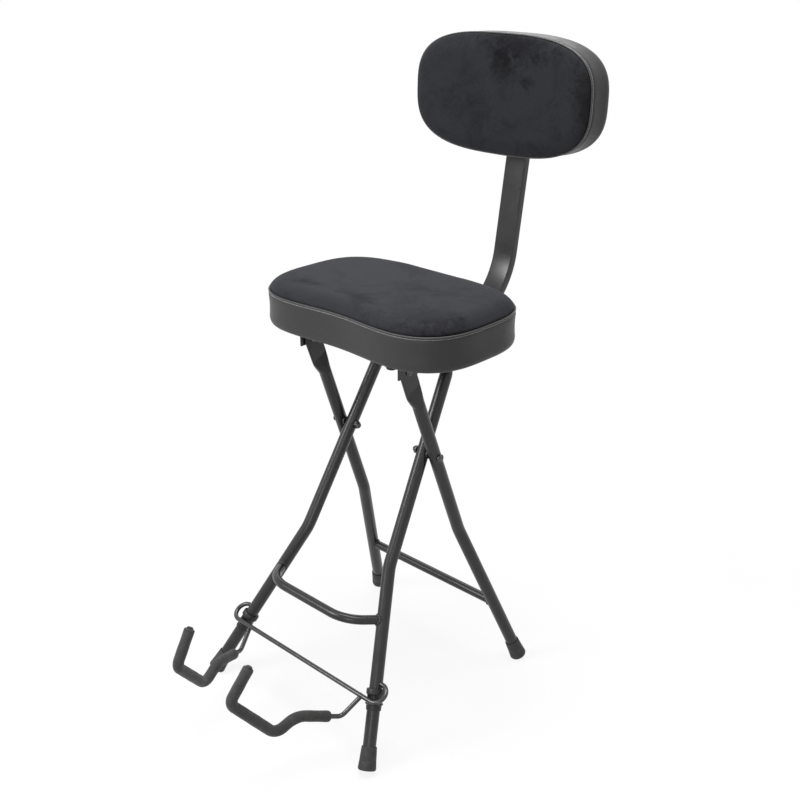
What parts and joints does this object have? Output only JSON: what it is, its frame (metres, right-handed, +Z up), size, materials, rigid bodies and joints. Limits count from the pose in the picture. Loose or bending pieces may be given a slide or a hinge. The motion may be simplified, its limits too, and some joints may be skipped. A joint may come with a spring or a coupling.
{
  "type": "folding guitar stool",
  "caption": "Folding scissor-leg stool with a padded waisted seat, a sliding padded backrest on a flat post, a footrest bar and a swing-down foam-covered guitar cradle.",
  "frame": {"origin": "on the floor, under the centre of the stool's bounding box", "axes": "+Z up, the stool and its sitter face -Y, +X to the right as seen from the front"},
  "size_m": [0.425, 0.7862, 1.1049],
  "materials": {
    "black_steel": "satin black powder coat",
    "dark_zinc": "dark zinc plate",
    "black_rubber": "matt moulded rubber",
    "black_plastic": "moulded satin plastic",
    "black_foam": "closed-cell foam sleeve",
    "black_velvet": "short-pile velvet top with a leathercloth side band",
    "plywood": "raw plywood"
  },
  "bodies": {
    "front_frame": {"front_leg_right": "black_steel", "front_leg_left": "black_steel", "front_top_bar": "black_steel", "footrest": "black_steel", "leg_collar_right": "black_plastic", "leg_collar_left": "black_plastic", "front_foot_right": "black_rubber", "front_foot_left": "black_rubber", "pivot_bolt_right": "dark_zinc", "pivot_bolt_left": "dark_zinc", "pivot_spacer_right": "black_plastic", "pivot_spacer_left": "black_plastic", "pivot_nut_right": "dark_zinc", "pivot_nut_left": "dark_zinc"},
    "rear_frame": {"rear_leg_right": "black_steel", "rear_leg_left": "black_steel", "rear_cross_bar": "black_steel", "rear_foot_right": "black_rubber", "rear_foot_left": "black_rubber"},
    "seat": {"seat_board": "plywood", "seat_cushion": "black_velvet", "hinge_bracket_right": "black_steel", "hinge_bracket_left": "black_steel", "hinge_rivet_right": "dark_zinc", "hinge_rivet_left": "dark_zinc", "hinge_screw_right_1": "dark_zinc", "hinge_screw_right_2": "dark_zinc", "hinge_screw_left_1": "dark_zinc", "hinge_screw_left_2": "dark_zinc", "post_sleeve": "black_steel", "sleeve_rail_right": "black_steel", "sleeve_rail_left": "black_steel", "rail_screw_right_1": "dark_zinc", "rail_screw_right_2": "dark_zinc", "rail_screw_left_1": "dark_zinc", "rail_screw_left_2": "dark_zinc", "bar_saddle_right": "black_steel", "bar_saddle_left": "black_steel", "saddle_screw_right": "dark_zinc", "saddle_screw_left": "dark_zinc", "clamp_nut": "dark_zinc"},
    "clamp": {"clamp_knob": "black_plastic", "clamp_stud": "dark_zinc"},
    "backrest": {"backrest_post": "black_steel", "post_end_cap": "black_plastic", "back_plate": "black_steel", "back_board": "plywood", "back_cushion": "black_velvet", "back_screw_1": "dark_zinc", "back_screw_2": "dark_zinc", "back_screw_3": "dark_zinc", "back_screw_4": "dark_zinc"},
    "cradle": {"cradle_wire": "black_steel", "cradle_arm_right": "black_steel", "cradle_arm_left": "black_steel", "cradle_foam_right": "black_foam", "cradle_foam_left": "black_foam"}
  },
  "joints": [
    {"name": "scissor_fold", "type": "hinge", "parent": "front_frame", "child": "rear_frame", "pos_m": [0, 0.03474, 0.4554], "axis": [-1, 0, 0], "range_deg": [0, 44.5]},
    {"name": "seat_fold", "type": "hinge", "parent": "rear_frame", "child": "seat", "pos_m": [0, -0.02932, 0.6275], "axis": [1, 0, 0], "range_deg": [0, 105]},
    {"name": "cradle_fold", "type": "hinge", "parent": "front_frame", "child": "cradle", "pos_m": [0, -0.15382, 0.124], "axis": [-1, 0, 0], "range_deg": [0, 115]},
    {"name": "backrest_slide", "type": "slide", "parent": "seat", "child": "backrest", "axis": [0, 1, 0], "range_m": [-0.02, 0.03]},
    {"name": "clamp_turn", "type": "hinge", "parent": "seat", "child": "clamp", "pos_m": [0, 0.04966, 0.6017], "axis": [0, 0, 1], "range_deg": [-180, 180]}
  ],
  "couplings": [
    {"joint": "seat_fold", "follows": "scissor_fold", "ratio": 2.35}
  ]
}
